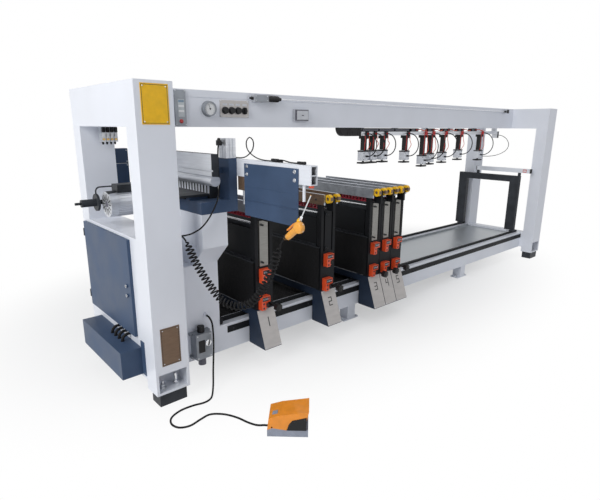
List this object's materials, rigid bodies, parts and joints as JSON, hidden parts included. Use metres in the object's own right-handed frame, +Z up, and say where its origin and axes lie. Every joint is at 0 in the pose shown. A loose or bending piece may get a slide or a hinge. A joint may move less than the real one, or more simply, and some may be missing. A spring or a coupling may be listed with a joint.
{
  "type": "line boring machine",
  "caption": "Multi-row panel boring machine: vertical drilling units slide on a bed between two portals, with a horizontal unit, infeed fence, overhead hold-downs, cabinet and foot pedal.",
  "frame": {"origin": "on the floor, midway between the four floor anchor holes", "axes": "+X along the machine to the right as the operator sees it, -Y towards the operator, +Z up"},
  "size_m": [4.685, 1.5484, 1.6],
  "materials": {
    "white_paint": "semi-gloss, fine orange peel",
    "slate_paint": "satin",
    "dark_steel": "satin",
    "black_paint": "satin",
    "silver_alu": "anodised, brushed",
    "white_alu": "powder coated",
    "steel": "ground",
    "black_plastic": "matte",
    "grey_plastic": "matte",
    "orange_plastic": "semi-gloss",
    "amber_plastic": "semi-gloss",
    "yellow_plastic": "semi-gloss",
    "head_red": "satin",
    "black_rubber": "matte"
  },
  "bodies": {
    "frame": {"left_portal": "white_paint", "right_portal": "white_paint", "portal_feet": "dark_steel", "top_beam": "white_paint", "control_panel": "silver_alu", "pressure_gauge": "steel", "rope_switch": "grey_plastic", "clamp_rail": "silver_alu", "clamp_cylinders": "silver_alu", "drag_chain": "black_plastic", "air_tubes": "black_plastic", "bed": "white_paint", "guide_rails": "black_paint", "bed_tray": "steel", "base_block": "white_paint", "cabinet": "white_paint", "cabinet_plate": "grey_plastic", "side_box": "slate_paint", "side_cables": "black_plastic", "h_base": "slate_paint", "fence_post": "slate_paint", "fence": "white_alu", "fence_guard": "slate_paint", "blow_gun": "yellow_plastic", "coil_hose": "black_rubber", "air_unit": "grey_plastic", "pedal_base": "amber_plastic", "pedal_cable": "black_rubber"},
    "cabinet_door": {"cabinet_door": "slate_paint"},
    "selector_knob": {"selector_knob": "black_plastic"},
    "clamp_feet": {"clamp_feet": "black_plastic"},
    "h_head": {"h_head": "dark_steel"},
    "gun_trigger": {"gun_trigger": "orange_plastic"},
    "pedal_tread": {"pedal_tread": "black_plastic"},
    "end_support": {"end_support": "slate_paint"},
    "v1": {"v1_carriage": "black_paint", "v1_counters": "orange_plastic"},
    "v1_head": {"v1_head": "head_red"},
    "v1_rollers": {"v1_rollers": "yellow_plastic"},
    "v1_knob": {"v1_knob": "black_plastic"},
    "v2": {"v2_carriage": "black_paint", "v2_counters": "orange_plastic"},
    "v2_head": {"v2_head": "head_red"},
    "v2_rollers": {"v2_rollers": "yellow_plastic"},
    "v2_knob": {"v2_knob": "black_plastic"},
    "v3": {"v3_carriage": "black_paint", "v3_counters": "orange_plastic"},
    "v3_head": {"v3_head": "head_red"},
    "v3_rollers": {"v3_rollers": "yellow_plastic"},
    "v3_knob": {"v3_knob": "black_plastic"},
    "v4": {"v4_carriage": "black_paint", "v4_counters": "orange_plastic"},
    "v4_head": {"v4_head": "head_red"},
    "v4_rollers": {"v4_rollers": "yellow_plastic"},
    "v4_knob": {"v4_knob": "black_plastic"},
    "v5": {"v5_carriage": "black_paint", "v5_counters": "orange_plastic"},
    "v5_head": {"v5_head": "head_red"},
    "v5_rollers": {"v5_rollers": "yellow_plastic"},
    "v5_knob": {"v5_knob": "black_plastic"}
  },
  "joints": [
    {"name": "door_hinge", "type": "hinge", "parent": "frame", "child": "cabinet_door", "pos_m": [-2.287, 0.404, 0.6], "axis": [0, 0, -1], "range_deg": [0, 115]},
    {"name": "selector_turn", "type": "hinge", "parent": "frame", "child": "selector_knob", "pos_m": [-1.44, -0.07, 1.4944], "axis": [0, -1, 0], "range_deg": [-45, 45]},
    {"name": "clamp_stroke", "type": "slide", "parent": "frame", "child": "clamp_feet", "axis": [0, 0, -1], "range_m": [0, 0.045], "stiffness_N_per_m": 4000, "springref_m": -0.02},
    {"name": "h_feed", "type": "slide", "parent": "frame", "child": "h_head", "axis": [1, 0, 0], "range_m": [0, 0.06]},
    {"name": "gun_trigger_press", "type": "hinge", "parent": "frame", "child": "gun_trigger", "pos_m": [-1.765, -0.90634, 0.97345], "axis": [-1, 0, 0], "range_deg": [0, 6], "stiffness_Nm_per_rad": 2, "springref_deg": -5.73},
    {"name": "pedal_press", "type": "hinge", "parent": "frame", "child": "pedal_tread", "pos_m": [-1.93191, -0.946, 0.048], "axis": [0.682, 0.7314, 0], "range_deg": [0, 8], "stiffness_Nm_per_rad": 20, "springref_deg": -5.73},
    {"name": "end_support_slide", "type": "slide", "parent": "frame", "child": "end_support", "axis": [1, 0, 0], "range_m": [-0.3, 0.03]},
    {"name": "v1_slide", "type": "slide", "parent": "frame", "child": "v1", "axis": [1, 0, 0], "range_m": [-0.08, 0.19]},
    {"name": "v1_feed", "type": "slide", "parent": "v1", "child": "v1_head", "axis": [0, 0, 1], "range_m": [0, 0.045]},
    {"name": "v1_roll", "type": "hinge", "parent": "v1", "child": "v1_rollers", "pos_m": [-1.547, -0.421, 0.9656], "axis": [1, 0, 0], "continuous": true},
    {"name": "v1_knob_turn", "type": "hinge", "parent": "v1", "child": "v1_knob", "pos_m": [-1.507, -0.463, 0.368], "axis": [0, -1, 0], "continuous": true},
    {"name": "v2_slide", "type": "slide", "parent": "frame", "child": "v2", "axis": [1, 0, 0], "range_m": [-0.19, 0.2]},
    {"name": "v2_feed", "type": "slide", "parent": "v2", "child": "v2_head", "axis": [0, 0, 1], "range_m": [0, 0.045]},
    {"name": "v2_roll", "type": "hinge", "parent": "v2", "child": "v2_rollers", "pos_m": [-1.022, -0.421, 0.9656], "axis": [1, 0, 0], "continuous": true},
    {"name": "v2_knob_turn", "type": "hinge", "parent": "v2", "child": "v2_knob", "pos_m": [-0.982, -0.463, 0.368], "axis": [0, -1, 0], "continuous": true},
    {"name": "v3_slide", "type": "slide", "parent": "frame", "child": "v3", "axis": [1, 0, 0], "range_m": [-0.14, 0.8]},
    {"name": "v3_feed", "type": "slide", "parent": "v3", "child": "v3_head", "axis": [0, 0, 1], "range_m": [0, 0.045]},
    {"name": "v3_roll", "type": "hinge", "parent": "v3", "child": "v3_rollers", "pos_m": [-0.548, -0.421, 0.9656], "axis": [1, 0, 0], "continuous": true},
    {"name": "v3_knob_turn", "type": "hinge", "parent": "v3", "child": "v3_knob", "pos_m": [-0.508, -0.463, 0.368], "axis": [0, -1, 0], "continuous": true},
    {"name": "v4_slide", "type": "slide", "parent": "v3", "child": "v4", "axis": [1, 0, 0], "range_m": [0, 0.35]},
    {"name": "v4_feed", "type": "slide", "parent": "v4", "child": "v4_head", "axis": [0, 0, 1], "range_m": [0, 0.045]},
    {"name": "v4_roll", "type": "hinge", "parent": "v4", "child": "v4_rollers", "pos_m": [-0.418, -0.421, 0.9656], "axis": [1, 0, 0], "continuous": true},
    {"name": "v4_knob_turn", "type": "hinge", "parent": "v4", "child": "v4_knob", "pos_m": [-0.378, -0.463, 0.368], "axis": [0, -1, 0], "continuous": true},
    {"name": "v5_slide", "type": "slide", "parent": "v4", "child": "v5", "axis": [1, 0, 0], "range_m": [0, 0.35]},
    {"name": "v5_feed", "type": "slide", "parent": "v5", "child": "v5_head", "axis": [0, 0, 1], "range_m": [0, 0.045]},
    {"name": "v5_roll", "type": "hinge", "parent": "v5", "child": "v5_rollers", "pos_m": [-0.288, -0.421, 0.9656], "axis": [1, 0, 0], "continuous": true},
    {"name": "v5_knob_turn", "type": "hinge", "parent": "v5", "child": "v5_knob", "pos_m": [-0.248, -0.463, 0.368], "axis": [0, -1, 0], "continuous": true}
  ],
  "couplings": [
    {"joint": "v1_knob_turn", "follows": "v1_slide", "rad_per_m": 33.3},
    {"joint": "v2_knob_turn", "follows": "v2_slide", "rad_per_m": 33.3},
    {"joint": "v3_knob_turn", "follows": "v3_slide", "rad_per_m": 33.3},
    {"joint": "v4_knob_turn", "follows": "v4_slide", "rad_per_m": 33.3},
    {"joint": "v5_knob_turn", "follows": "v5_slide", "rad_per_m": 33.3}
  ]
}
